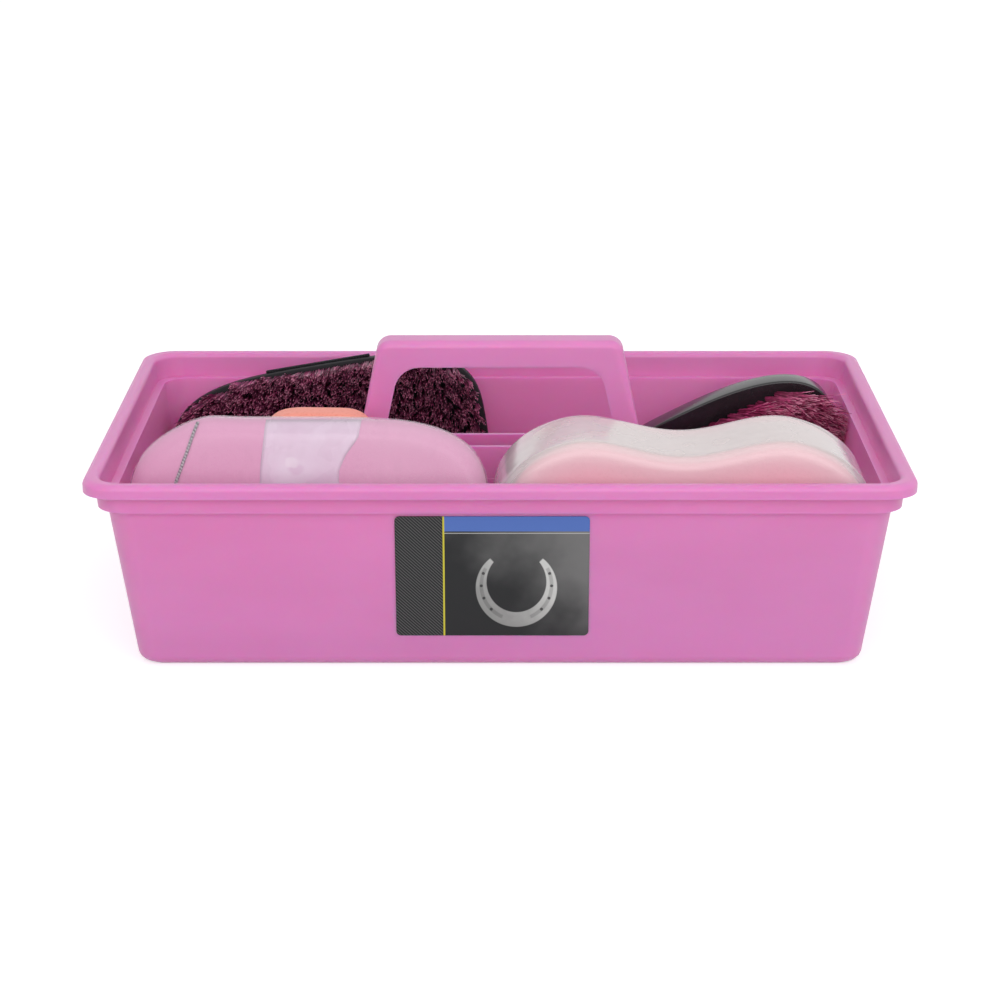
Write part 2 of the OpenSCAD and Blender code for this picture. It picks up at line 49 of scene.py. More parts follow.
print("frame loaded:", len(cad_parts), "nodes")


# shader maths: a socket that adds nodes when it is used in an expression
class Wire:
    def __init__(self, tree, socket=None):
        self.tree = tree
        self.socket = socket

    def node(self, kind, settings=None, values=None, give=0):
        made = self.tree.nodes.new("ShaderNode" + kind)
        for key, value in (settings or {}).items():
            setattr(made, key, value)
        for key, value in (values or {}).items():
            if isinstance(value, Wire):
                self.tree.links.new(value.socket, made.inputs[key])
            else:
                made.inputs[key].default_value = value
        return Wire(self.tree, made.outputs[give])

    def math(self, operation, other=0.0):
        return self.node("Math", {"operation": operation}, {0: self, 1: other})

    def flipped(self, operation, other):
        return self.node("Math", {"operation": operation}, {0: other, 1: self})

    def __add__(self, other):
        return self.math("ADD", other)

    def __radd__(self, other):
        return self.flipped("ADD", other)

    def __sub__(self, other):
        return self.math("SUBTRACT", other)

    def __rsub__(self, other):
        return self.flipped("SUBTRACT", other)

    def __mul__(self, other):
        return self.math("MULTIPLY", other)

    def __rmul__(self, other):
        return self.flipped("MULTIPLY", other)

    def __truediv__(self, other):
        return self.math("DIVIDE", other)

    def __rtruediv__(self, other):
        return self.flipped("DIVIDE", other)

    def __pow__(self, other):
        return self.math("POWER", other)

    # another output of the same node
    def also(self, output):
        return Wire(self.tree, self.socket.node.outputs[output])

    # 0 below low, 1 above high, soft between
    def step(self, low, high):
        smooth = {"interpolation_type": "SMOOTHSTEP"}
        return self.node("MapRange", smooth, {0: self, 1: low, 2: high})

    # this value as the share of the second colour
    def blend(self, first, second):
        return self.node("Mix", {"data_type": "RGBA"}, {0: self, 6: first, 7: second}, 2)

    def noise(self, scale, detail=2.0, rough=0.5):
        values = {"Vector": self, "Scale": scale, "Detail": detail, "Roughness": rough}
        return self.node("TexNoise", None, values)

    def stretch(self, scale):
        return self.node("Mapping", None, {"Vector": self, "Scale": scale})

    def bump(self, strength, distance):
        return self.node("Bump", None, {"Height": self, "Strength": strength, "Distance": distance})


def rgb(red, green, blue):
    return (red, green, blue, 1.0)


def openMaterial(name):
    made = bpy.data.materials.new(name)
    made.use_nodes = True
    made.node_tree.nodes.clear()
    spot = Wire(made.node_tree).node("TexCoord", give="Object")
    return made, spot


def closeMaterial(made, surface):
    output = made.node_tree.nodes.new("ShaderNodeOutputMaterial")
    made.node_tree.links.new(surface.socket, output.inputs["Surface"])
    return made


def principled(spot, **values):
    named = {key.replace("_", " "): value for key, value in values.items()}
    return spot.node("BsdfPrincipled", None, named)


# moulded polypropylene: satin, faint flow mottling, hairline scuffs, fine grain
trayFinish = {"pink": rgb(0.76, 0.255, 0.565), "deep": rgb(0.735, 0.240, 0.54),
              "scuff": rgb(0.78, 0.31, 0.60), "rough": 0.34,
              "bleed": (1.0, 0.30, 0.62), "bleedDepth": 0.006}


def trayPlastic():
    made, spot = openMaterial("trayPlastic")
    f = trayFinish
    flow = spot.stretch((3.0, 3.0, 9.0)).noise(3.0, 3.0).step(0.3, 0.7)
    hair = spot.stretch((30.0, 40.0, 1500.0)).noise(1.0, 2.0).step(0.68, 0.76)
    worn = hair * spot.noise(22.0, 2.0).step(0.45, 0.7) * 0.3
    colour = worn.blend(flow.blend(f["deep"], f["pink"]), f["scuff"])
    rough = f["rough"] + 0.07 * spot.noise(40.0, 2.0) + 0.10 * worn
    grain = spot.noise(2600.0, 1.0)
    surface = principled(spot, Base_Color=colour, Roughness=rough, Specular_IOR_Level=0.5,
                         Subsurface_Weight=1.0, Subsurface_Radius=f["bleed"],
                         Subsurface_Scale=f["bleedDepth"], Normal=grain.bump(0.16, 0.00006))
    return closeMaterial(made, surface)


# printed label: horseshoe on a grey field, hatched side panel, blue bar, yellow rule; lengths in mm
labelPrint = {"centre": (-4.0, 52.4), "slope": math.cos(math.radians(7.9)), "panel": -25.0,
              "rule": 0.45, "bar": 26.0, "edge": 0.08, "hatch": 0.9, "underline": 1.1,
              "shoe": (12.5, -5.0, 24.5), "web": (0.82, 0.175), "heel": (2.40, 2.44),
              "charcoal": rgb(0.010, 0.011, 0.012), "grey": rgb(0.17, 0.172, 0.17),
              "pale": rgb(0.66, 0.67, 0.65), "blue": rgb(0.085, 0.17, 0.50),
              "yellow": rgb(0.62, 0.56, 0.05)}


def labelPaper():
    made, spot = openMaterial("labelPaper")
    p = labelPrint
    crisp = (-p["edge"], p["edge"])
    across = spot.node("SeparateXYZ", None, {0: spot})
    x = across / mm - p["centre"][0]
    z = (across.also("Z") / mm - p["centre"][1]) / p["slope"]
    glow = (x * 0.011 + z * 0.012 + 0.9 * spot.noise(34.0, 3.0)).step(0.25, 1.25)
    colour = glow.blend(p["charcoal"], p["grey"])
    # horseshoe with its toe down, a fuller and nail holes
    sx, sz = (x - p["shoe"][0]) / p["shoe"][2], (z - p["shoe"][1]) / p["shoe"][2]
    reach = (sx * sx * 1.22 + sz * sz).math("SQRT")
    turn = sx.math("ARCTAN2", sz * -1.0).math("ABSOLUTE")
    middleLine, halfWidth = p["web"]
    web = (reach - middleLine).math("ABSOLUTE")
    shoe = (1 - (web - halfWidth + 0.020 * turn * turn).step(-0.012, 0.012)) * (1 - turn.step(*p["heel"]))
    nail = (turn - 0.35).math("PINGPONG", 0.2) * 0.82
    nailed = turn.step(0.5, 0.52) * (1 - turn.step(2.02, 2.04))
    hole = (1 - (nail * nail + web * web).math("SQRT").step(0.030, 0.044)) * nailed
    fuller = (1 - web.step(0.03, 0.055)) * turn.step(0.35, 0.4) * (1 - turn.step(2.1, 2.15))
    light = 0.42 + 0.5 * (sx + sz + spot.noise(160.0, 3.0)).step(-0.8, 1.6)
    steel = (light * (1 - 0.85 * hole) * (1 - 0.3 * fuller)).blend(p["charcoal"], p["pale"])
    colour = shoe.blend(colour, steel)
    # hatched panel, rule and bar
    lines = ((x + z) / p["hatch"]).math("PINGPONG", 1.0).step(0.62, 0.8)
    panel = 1 - (x - p["panel"]).step(*crisp)
    colour = panel.blend(colour, (lines * 0.13).blend(p["charcoal"], p["pale"]))
    bar = (z - p["bar"]).step(*crisp) * (1 - panel)
    colour = bar.blend(colour, p["blue"])
    under = (1 - (z - p["bar"] + p["underline"]).math("ABSOLUTE").step(0.18, 0.3)) * (1 - panel)
    colour = (0.6 * under).blend(colour, p["pale"])
    rule = 1 - ((x - p["panel"]).math("ABSOLUTE") - p["rule"]).step(*crisp)
    colour = rule.blend(colour, p["yellow"])
    surface = principled(spot, Base_Color=colour, Roughness=0.34 + 0.08 * spot.noise(60.0),
                         Specular_IOR_Level=0.3, Normal=spot.noise(1500.0, 2.0).bump(0.06, 0.00004))
    return closeMaterial(made, surface)


# black stock with faint grain and dust; gloss is its roughness, shine its reflection
def stockWood(name, gloss, shine):
    made, spot = openMaterial(name)
    grain = spot.stretch((20.0, 90.0, 240.0)).noise(3.0, 4.0, 0.6)
    colour = grain.blend(rgb(0.006, 0.005, 0.007), rgb(0.016, 0.013, 0.016))
    dust = spot.noise(420.0, 3.0).step(0.62, 0.8)
    surface = principled(spot, Base_Color=(dust * 0.06).blend(colour, rgb(0.22, 0.2, 0.21)),
                         Roughness=gloss + 0.08 * grain + 0.10 * dust, Specular_IOR_Level=shine,
                         Normal=grain.bump(0.10, 0.00005))
    return closeMaterial(made, surface)


# bristles take their tone from each strand and from clumps, with painted shade towards the root and a
# painted highlight on the tips
def bristleFibre(name, deep, bright, tipGlint, glintShare):
    made, spot = openMaterial(name)
    tone = spot.node("Attribute", {"attribute_name": "tone"}, give="Fac")
    along = spot.node("Attribute", {"attribute_name": "along"}, give="Fac")
    clump = spot.noise(240.0, 1.0).step(0.36, 0.64)
    # painted shade: each strand is darker towards its root, where the tuft shades it
    body = (tone * (0.25 + 0.75 * along) * (0.45 + 0.9 * clump)).blend(deep, bright)
    # painted highlight: the tips turn to the glint colour
    colour = (along.step(0.72, 1.0) * tone.step(0.25, 0.9) * glintShare).blend(body, tipGlint)
    surface = principled(spot, Base_Color=colour, Roughness=0.30 + 0.12 * spot.noise(300.0),
                         Specular_IOR_Level=0.25)
    return closeMaterial(made, surface)


# open-cell foam: cells of two sizes, soft and matt, with painted shade in the pores; pale is a painted
# reflection, a whitish tint painted on the mesh
def foam(name, light, poreShade, cell, depth, pale=None):
    made, spot = openMaterial(name)
    small = spot.node("TexVoronoi", None, {"Vector": spot, "Scale": cell})
    large = spot.node("TexVoronoi", None, {"Vector": spot, "Scale": cell * 0.31})
    # painted shade: the pores take the darker colour, as shade in the cell holes
    pores = small.step(0.0, 0.45) * (0.7 + 0.3 * large.step(0.02, 0.3))
    colour = pores.blend(poreShade, light)
    if pale:
        # painted reflection: pale is whitish reflected light painted onto the foam
        band = spot.node("Attribute", {"attribute_name": "pale"}, give="Fac")
        colour = band.blend(colour, pale)
    surface = principled(spot, Base_Color=colour, Roughness=0.86 - 0.06 * pores, Sheen_Weight=0.15,
                         Normal=pores.bump(depth, 0.0004))
    return closeMaterial(made, surface)


# clear film: reflects most at a grazing look, see-through between; a painted mask makes it milky where it
# is gathered and whitish where reflection and highlights are painted
def clearFilm(name, tint, sheen, crinkle, matt):
    made, spot = openMaterial(name)
    fine = 0.06 * spot.noise(110.0, 2.0) + spot.stretch((1.0, 1.0, 2.0)).noise(20.0, 1.0)
    normal = fine.bump(crinkle, 0.0012)
    facing = spot.node("LayerWeight", None, {"Blend": 0.5, "Normal": normal}, "Facing")
    mirror = 0.02 + sheen * facing ** 5
    # the mask holds real haze and painted sheen together
    painted = spot.node("Attribute", {"attribute_name": "hazeAndSheen"}, give="Fac")
    hazeAndSheen = painted * (0.8 + 0.4 * spot.noise(60.0, 2.0))
    cover = (mirror + hazeAndSheen).math("MINIMUM", 0.96)
    gloss = principled(spot, Base_Color=tint, Metallic=mirror / (cover + 0.001),
                       Roughness=matt + 0.06 * spot.noise(90.0), Normal=normal)
    clear = spot.node("BsdfTransparent")
    return closeMaterial(made, spot.node("MixShader", None, {0: cover, 1: clear, 2: gloss}))


# crimped seam in the film, with painted light and shade on its crimp ribs
def seamFilm():
    made, spot = openMaterial("seamFilm")
    across = spot.node("SeparateXYZ", None, {0: spot})
    # painted light and shade: the crimp ribs alternate light and dark
    ribShading = ((across * 0.6 + across.also("Z")) / mm).math("PINGPONG", 0.9).step(0.25, 0.7)
    speckAndRibShading = 0.5 * ribShading + 0.5 * spot.noise(900.0, 2.0).step(0.4, 0.65)
    colour = speckAndRibShading.blend(rgb(0.20, 0.17, 0.20), rgb(0.52, 0.49, 0.52))
    surface = principled(spot, Base_Color=colour, Roughness=0.30 + 0.2 * speckAndRibShading,
                         Normal=speckAndRibShading.bump(0.5, 0.0002))
    return closeMaterial(made, surface)


# thin white paper with pink showing through it, and one small fold shown by a painted highlight and a
# painted shadow; lengths in mm
paperFold = {"x": -105.6, "z": 107.4, "ragged": 5.0}


def bandPaper():
    made, spot = openMaterial("bandPaper")
    cloud = spot.noise(38.0, 3.0).step(0.3, 0.72)
    colour = cloud.blend(rgb(0.68, 0.49, 0.64), rgb(0.75, 0.62, 0.74))
    across = spot.node("SeparateXYZ", None, {0: spot})
    x = across / mm - paperFold["x"] + paperFold["ragged"] * spot.noise(120.0)
    z = across.also("Z") / mm - paperFold["z"] + paperFold["ragged"] * spot.noise(150.0)
    # painted highlight on the fold's upper left
    fold = 1 - (x * x / 20 + z * z / 10).math("SQRT").step(0.7, 1.0)
    # painted shadow on the fold's lower right
    shade = 1 - ((x - 2.0) ** 2.0 / 22 + (z + 3.0) ** 2.0 / 12).math("SQRT").step(0.6, 1.1)
    colour = (shade * 0.5).blend(colour, rgb(0.62, 0.40, 0.58))
    colour = (fold * 0.6).blend(colour, rgb(0.82, 0.72, 0.80))
    surface = principled(spot, Base_Color=colour, Roughness=0.24 + 0.1 * cloud,
                         Normal=spot.noise(70.0, 3.0).bump(0.12, 0.0008))
    return closeMaterial(made, surface)


# woven strap, threads both ways
def strapWeave():
    made, spot = openMaterial("strapWeave")
    ribs, cross = (spot.node("TexWave", {"bands_direction": way},
                             {"Vector": spot, "Scale": scale, "Distortion": 0.4})
                   for way, scale in (("X", 190.0), ("Z", 230.0)))
    weave = ribs * cross
    colour = weave.blend(rgb(0.005, 0.005, 0.007), rgb(0.022, 0.021, 0.025))
    surface = principled(spot, Base_Color=colour, Roughness=0.8 - 0.15 * weave, Specular_IOR_Level=0.25,
                         Normal=weave.bump(0.7, 0.0004))
    return closeMaterial(made, surface)


def screwMetal():
    made, spot = openMaterial("screwMetal")
    turned = spot.noise(800.0, 2.0)
    colour = turned.blend(rgb(0.44, 0.43, 0.41), rgb(0.66, 0.65, 0.62))
    surface = principled(spot, Base_Color=colour, Metallic=1.0, Roughness=0.24 + 0.16 * turned,
                         Normal=turned.bump(0.1, 0.0001))
    return closeMaterial(made, surface)


finish = {
    "tray": trayPlastic(),
    "label": labelPaper(),
    "bodyStock": stockWood("bodyStock", 0.50, 0.15),
    "dandyStock": stockWood("dandyStock", 0.16, 0.45),
    # bristle colours: deep, bright, and the painted highlight colour of the tips
    "bodyFibre": bristleFibre("bodyFibre", rgb(0.06, 0.006, 0.028), rgb(0.80, 0.065, 0.32),
                              rgb(0.95, 0.42, 0.60), 0.9),
    "dandyFibre": bristleFibre("dandyFibre", rgb(0.14, 0.006, 0.035), rgb(1.0, 0.13, 0.40),
                               rgb(1.0, 0.50, 0.66), 0.9),
    "pinkFoam": foam("pinkFoam", rgb(0.745, 0.35, 0.55), rgb(0.695, 0.31, 0.50), 900.0, 0.12),
    # the rose foam's last colour is the whitish painted reflection
    "roseFoam": foam("roseFoam", rgb(0.95, 0.50, 0.58), rgb(0.90, 0.44, 0.52), 800.0, 0.2,
                     rgb(0.78, 0.66, 0.66)),
    "apricotFoam": foam("apricotFoam", rgb(1.0, 0.36, 0.28), rgb(0.86, 0.26, 0.18), 700.0, 0.45),
    "pinkFilm": clearFilm("pinkFilm", rgb(0.95, 0.92, 0.95), 0.45, 0.08, 0.24),
    "hourFilm": clearFilm("hourFilm", rgb(0.94, 0.92, 0.92), 0.6, 0.08, 0.14),
    "seam": seamFilm(),
    "band": bandPaper(),
    "strap": strapWeave(),
    "screw": screwMetal(),
}
print("finishes made:", len(finish))


# camera at the photograph's place
cameraSpot = {"at": (0.0, -1.42835, 0.50936), "down": 17.65, "lens": 96.42, "sensor": 36,
              "clip": (0.05, 50)}
eye = bpy.data.objects.new("eye", bpy.data.cameras.new("eye"))
scene.collection.objects.link(eye)
eye.location = cameraSpot["at"]
eye.rotation_euler = (math.radians(90 - cameraSpot["down"]), 0, 0)
eye.data.lens = cameraSpot["lens"]
eye.data.sensor_width = cameraSpot["sensor"]
eye.data.clip_start, eye.data.clip_end = cameraSpot["clip"]
scene.camera = eye

# soft studio: pale floor, white surround, a large softbox in front and a weaker one above
studio = {"surround": 0.60, "floor": rgb(0.70, 0.70, 0.70), "lift": 0.60, "floorHalf": 6,
          "target": Vector((0, 0, 0.06)),
          "boxes": [("frontBox", (0.30, -2.35, 1.15), (2.6, 1.6), 28.0),
                    ("topBox", (0.2, -0.5, 2.1), (2.2, 2.2), 6.0)]}


# rays that see the white surround: straight, mirrored or through glass
def seenRays(start):
    path = start.node("LightPath", give="Is Camera Ray")
    seen = path.math("MAXIMUM", path.also("Is Glossy Ray"))
    return seen.math("MAXIMUM", path.also("Is Transmission Ray"))


def studioLight():
    world = bpy.data.worlds.new("surround")
    scene.world = world
    world.use_nodes = True
    world.node_tree.nodes.clear()
    start = Wire(world.node_tree)
    lit = start.node("Background", None, {0: rgb(1, 1, 1), 1: studio["surround"]})
    white = start.node("Background", None, {0: rgb(1, 1, 1), 1: 1.0})
    both = start.node("MixShader", None, {0: seenRays(start), 1: lit, 2: white})
    output = world.node_tree.nodes.new("ShaderNodeOutputWorld")
    world.node_tree.links.new(both.socket, output.inputs["Surface"])
    for name, at, size, power in studio["boxes"]:
        lamp = bpy.data.lights.new(name, "AREA")
        lamp.shape = "RECTANGLE"
        lamp.size, lamp.size_y = size
        lamp.energy = power
        box = bpy.data.objects.new(name, lamp)
        box.location = at
        box.rotation_euler = (studio["target"] - Vector(at)).to_track_quat("-Z", "Y").to_euler()
        scene.collection.objects.link(box)


def studioFloor():
    made, spot = openMaterial("floorPaint")
    matt = spot.node("BsdfDiffuse", None, {0: studio["floor"]})
    lift = spot.node("Emission", None, {0: rgb(1, 1, 1), 1: seenRays(spot) * studio["lift"]})
    closeMaterial(made, spot.node("AddShader", None, {0: matt, 1: lift}))
    bm = bmesh.new()
    bmesh.ops.create_grid(bm, x_segments=4, y_segments=4, size=studio["floorHalf"])
    newPiece("floor", bm, made)


def newPiece(name, bm, material, smooth=True):
    for face in bm.faces:
        face.smooth = smooth
    mesh = bpy.data.meshes.new(name)
    bm.to_mesh(mesh)
    bm.free()
    mesh.materials.append(material)
    piece = bpy.data.objects.new(name, mesh)
    scene.collection.objects.link(piece)
    return piece


def middle(node):
    low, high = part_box(node)
    return (low + high) / 2


studioLight()
studioFloor()
print("studio set")


# outlines in the x-z plane of a piece, evenly spaced points
def even(points, count):
    closed = np.vstack([points, points[:1]])
    walked = np.concatenate([[0], np.cumsum(np.linalg.norm(np.diff(closed, axis=0), axis=1))])
    at = np.linspace(0, walked[-1], count, endpoint=False)
    return np.stack([np.interp(at, walked, closed[:, i]) for i in (0, 1)], axis=1)


def oval(halfX, halfZ, full, count=1600):
    t = np.linspace(0, 2 * math.pi, count, endpoint=False)
    x, z = (half * np.sign(wave) * abs(wave) ** (2 / full)
            for half, wave in ((halfX, np.cos(t)), (halfZ, np.sin(t))))
    return np.stack([x, z], axis=1)


# drawn in at the middle by a share of its height
def waisted(points, waist, hump):
    drawn = 1 - waist / 2 * (1 + np.cos(np.pi * np.minimum(1, abs(points[:, 0]) / hump)))
    return np.stack([points[:, 0], points[:, 1] * drawn], axis=1)


# longer at the top than at the foot
def pressed(points, share):
    height = points[:, 1] / points[:, 1].max()
    return np.stack([points[:, 0] * (1 + share * height), points[:, 1]], axis=1)


def grown(points, by):
    run = np.roll(points, -1, axis=0) - np.roll(points, 1, axis=0)
    side = np.stack([run[:, 1], -run[:, 0]], axis=1) / np.linalg.norm(run, axis=1)[:, None]
    return points + by * side


def ring(points, depth):
    return np.stack([points[:, 0], np.full(len(points), depth), points[:, 1]], axis=1)


# rings of a slab with rounded edges, from the middle of its front to the middle of its back
def slabRings(points, thick, edge, grow=0.0, crown=0.0, faceRows=8, edgeRows=7, girthRows=4):
    rings = []
    for side in (-1, 1):
        half = []
        flat = grown(points, -edge)
        for share in np.linspace(0, 1, faceRows + 1)[:-1]:
            half.append(ring(flat * share, side * (thick / 2 + grow + crown * (1 - share ** 2.5))))
        for f in np.linspace(math.pi / 2, 0, edgeRows):
            half.append(ring(grown(points, grow - (edge + grow) * (1 - math.cos(f))),
                             side * (thick / 2 - edge + (edge + grow) * math.sin(f))))
        rings += half if side < 0 else half[::-1]
        if side < 0:
            reach = thick / 2 - edge
            rings += [ring(grown(points, grow), d) for d in np.linspace(-reach, reach, girthRows + 1)[1:-1]]
    return rings


# a grid wrapped through the rings; its seam and its poles are merged
def loft(rings):
    count, rows = len(rings[0]), len(rings)
    bm = bmesh.new()
    bmesh.ops.create_grid(bm, x_segments=count, y_segments=rows - 1, size=1)
    for vert in bm.verts:
        column = round((vert.co.x + 1) / 2 * count) % count
        row = round((vert.co.y + 1) / 2 * (rows - 1))
        vert.co = rings[row][column]
    bmesh.ops.remove_doubles(bm, verts=bm.verts, dist=1e-6)
    bmesh.ops.recalc_face_normals(bm, faces=bm.faces)
    bm.normal_update()
    return bm


def swell(bm, amount, size, seed):
    moves = [amount * noise.noise(vert.co * size + Vector((seed, 0, 0))) for vert in bm.verts]
    for vert, move in zip(bm.verts, moves):
        vert.co += vert.normal * move
    bm.normal_update()


def paint(bm, name, value):
    layer = bm.verts.layers.float.new(name)
    for vert in bm.verts:
        vert[layer] = value(vert.co)


def soft(value, low, high):
    t = min(1.0, max(0.0, (value - low) / (high - low)))
    return t * t * (3 - 2 * t)


# tray: the moulding's own solid with its edges eased
trayShape = {"ease": 0.8 * mm, "sharp": 40.0, "merge": 4e-6, "flat": 0.6, "crease": 32.0}


def makeTray():
    t = trayShape
    bm = bmesh.new()
    bm.from_mesh(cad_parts["tray"].data)
    bmesh.ops.remove_doubles(bm, verts=bm.verts, dist=t["merge"])
    bmesh.ops.dissolve_limit(bm, angle_limit=math.radians(t["flat"]), verts=bm.verts, edges=bm.edges)
    paired = [e for e in bm.edges if len(e.link_faces) == 2]
    sharp = [e for e in paired if e.calc_face_angle() > math.radians(t["sharp"])]
    bmesh.ops.bevel(bm, geom=sharp, offset=t["ease"], offset_type="OFFSET", segments=3, profile=0.5,
                    affect="EDGES", clamp_overlap=True, material=-1)
    tray = newPiece("trayMoulding", bm, finish["tray"])
    tray.data.set_sharp_from_angle(angle=math.radians(t["crease"]))
    weighted = tray.modifiers.new("evenNormals", "WEIGHTED_NORMAL")
    weighted.keep_sharp = True
    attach(tray, "tray")
    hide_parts("tray")
    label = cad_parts["front_label"]
    label.data.materials.clear()
    label.data.materials.append(finish["label"])
    print("tray made:", len(tray.data.polygons), "faces,", len(sharp), "eased edges")


makeTray()


# one tuft: tapering strands that fan out and curve a little
def tuftMesh(draw, shape):
    bm = bmesh.new()
    tone = bm.verts.layers.float.new("tone")
    along = bm.verts.layers.float.new("along")
    for _ in range(shape["strands"]):
        first = len(bm.verts)
        length = shape["length"] * (1 - shape["uneven"] * draw.random())
        cone = bmesh.ops.create_cone(bm, cap_ends=True, segments=3, radius1=shape["thick"],
                                     radius2=shape["thick"] * shape["taper"], depth=length)["verts"]
        if shape["cuts"]:
            joined = {e for v in cone for e in v.link_edges}
            upright = {e for e in joined if abs(e.verts[0].co.z - e.verts[1].co.z) > length / 2}
            bmesh.ops.subdivide_edges(bm, edges=list(upright), cuts=shape["cuts"])
        bm.verts.ensure_lookup_table()
        turn, away = draw.uniform(0, 2 * math.pi), math.sqrt(draw.random())
        outward = Vector((math.cos(turn), math.sin(turn), 0)) * away
        root, fan = outward * shape["rootR"], outward * shape["fan"]
        stray = Vector((draw.gauss(0, 1), draw.gauss(0, 1), 0)) * shape["stray"]
        shade = draw.random()
        for vert in bm.verts[first:]:
            t = vert.co.z / length + 0.5
            vert.co.z += length / 2
            vert.co += root + fan * t + stray * t * t
            vert[tone], vert[along] = shade, t
    mesh = bpy.data.meshes.new("tuft")
    bm.to_mesh(mesh)
    bm.free()
    return mesh


# room to the tray's end walls at a height, below and above its ledge
endRoom = {"half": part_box("tray")[1].x, "ledge": 91 * mm, "low": 26.8 * mm, "slope": 0.1388,
           "high": 10 * mm}


def endWall(z):
    e = endRoom
    inset = e["high"] if z > e["ledge"] else e["low"] - e["slope"] * max(0.0, z)
    return e["half"] - inset


# tufts stand in staggered rows on a stock's face, leaning as they are splayed, swept and twisted
def setTufts(name, shape, pose, face, reach, material, body, node):
    draw = random.Random(shape["seed"])
    kinds = [tuftMesh(draw, shape) for _ in range(shape["kinds"])]
    bm = bmesh.new()
    for j in range(shape["rows"]):
        z = shape["halfZ"] * (2 * (j + 0.5) / shape["rows"] - 1)
        for i in range(shape["cols"]):
            step = 2 * (i + 0.5 + 0.25 * (-1) ** j) / shape["cols"] - 1
            x = reach(z) * step * 0.985
            sideways = shape["splay"][0] * step * abs(step) + shape["sweep"][0]
            rise = z / shape["halfZ"] * shape["splay"][1 if z < 0 else 2]
            lean = Vector((sideways, 0, rise + shape["sweep"][1] - shape["twist"] * step))
            lean += Vector((draw.gauss(0, 1), 0, draw.gauss(0, 1))) * shape["tousle"]
            aim = (Vector((0, -1, 0)) + lean).to_track_quat("Z", "Y").to_matrix().to_4x4()
            kind = kinds[draw.randrange(len(kinds))].copy()
            root = Matrix.Translation((x, face, z - shape["drop"]))
            kind.transform(pose @ root @ aim @ Matrix.Rotation(draw.uniform(0, 6.28), 4, "Z"))
            bm.from_mesh(kind)
            bpy.data.meshes.remove(kind)
    for vert in bm.verts:  # strands that meet the end wall lie along it
        room = endWall(vert.co.z)
        vert.co.x = max(-room, min(room, vert.co.x))
    piece = newPiece(name, bm, material, smooth=False)
    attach(piece, body)
    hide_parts(node)
    print(name, "made:", len(piece.data.polygons), "faces")


# body brush
bodyBrush = {"half": (93 * mm, 48.5 * mm), "thick": 14 * mm, "edge": 3 * mm, "full": 3.3, "tilt": 9.5,
             "lean": 8.0, "margin": 1.2 * mm}
bodyTuft = {"seed": 4, "kinds": 8, "rows": 24, "cols": 42, "halfZ": 47.2 * mm, "strands": 22,
            "length": 23.4 * mm, "uneven": 0.12, "thick": 0.28 * mm, "taper": 0.85, "cuts": 0,
            "rootR": 1.3 * mm, "fan": 0.9 * mm, "stray": 0.7 * mm, "splay": (0.05, 0.04, 0.0),
            "sweep": (0.0, 0.0), "twist": 0.0, "tousle": 0.04, "drop": 0.0}
rootDepth = 0.4 * mm  # bristles start this far inside the stock
strapShape = {"width": 62 * mm, "thick": 1.65 * mm, "span": 28 * mm, "rise": 9 * mm}


def poseOf(node, tilt, lean):
    return (Matrix.Translation(middle(node)) @ Matrix.Rotation(math.radians(-lean), 4, "X")
            @ Matrix.Rotation(math.radians(-tilt), 4, "Y"))


# half length of a brush's bristle field at a height
def ovalReach(shape):
    halfX, halfZ = shape["half"][0] - shape["margin"], shape["half"][1] - shape["margin"]
    return lambda z: halfX * max(0.0, 1 - (abs(z) / halfZ) ** shape["full"]) ** (1 / shape["full"])


def makeStock(name, outline, shape, pose, body, node):
    bm = loft(slabRings(even(outline, 144), shape["thick"], shape["edge"], faceRows=3, girthRows=2))
    bmesh.ops.transform(bm, matrix=pose, verts=bm.verts)
    stock = newPiece(name, bm, finish[name])
    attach(stock, body)
    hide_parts(node)


# the strap arches over the back and is drawn round both edges
def makeStrap(pose):
    s, b = strapShape, bodyBrush
    back, edgeZ = b["thick"] / 2, b["half"][1] - 0.4 * mm
    radius = (s["span"] ** 2 + s["rise"] ** 2) / (2 * s["rise"])
    sweep = math.asin(s["span"] / radius)
    path = [(0.0, edgeZ), (back - b["edge"], edgeZ)]
    path += [(back - b["edge"] * (1 - math.sin(a)), edgeZ - b["edge"] * (1 - math.cos(a)))
             for a in np.linspace(0.3, math.pi / 2, 5)]
    path += [(back, z) for z in np.linspace(edgeZ - 5 * mm, s["span"] + 2 * mm, 5)]
    path += [(back + s["rise"] - radius * (1 - math.cos(a)), radius * math.sin(a))
             for a in np.linspace(sweep * 0.97, 0, 12)]
    path += [(y, -z) for y, z in path[-2::-1]]
    bm = bmesh.new()
    bmesh.ops.create_grid(bm, x_segments=10, y_segments=len(path) - 1, size=1)
    for vert in bm.verts:
        y, z = path[round((vert.co.y + 1) / 2 * (len(path) - 1))]
        vert.co = (vert.co.x * s["width"] / 2, y + 0.1 * mm, z)
    bmesh.ops.recalc_face_normals(bm, faces=bm.faces)
    if sum(f.normal.y for f in bm.faces) < 0:
        bmesh.ops.reverse_faces(bm, faces=bm.faces)
    bmesh.ops.transform(bm, matrix=pose, verts=bm.verts)
    strap = newPiece("bodyStrap", bm, finish["strap"])
    wall = strap.modifiers.new("thickness", "SOLIDIFY")
    wall.thickness, wall.offset = s["thick"], 1.0
    edge = strap.modifiers.new("edge", "BEVEL")
    edge.width, edge.segments = 0.4 * mm, 2
    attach(strap, "body_brush")
    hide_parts("body_brush_strap")


# slotted dome heads at the strap's four corners
screwShape = {"radius": 3.0 * mm, "dome": 1.4 * mm, "slot": 0.45 * mm, "deep": 0.5 * mm, "x": 15.5 * mm,
              "z": 34 * mm}


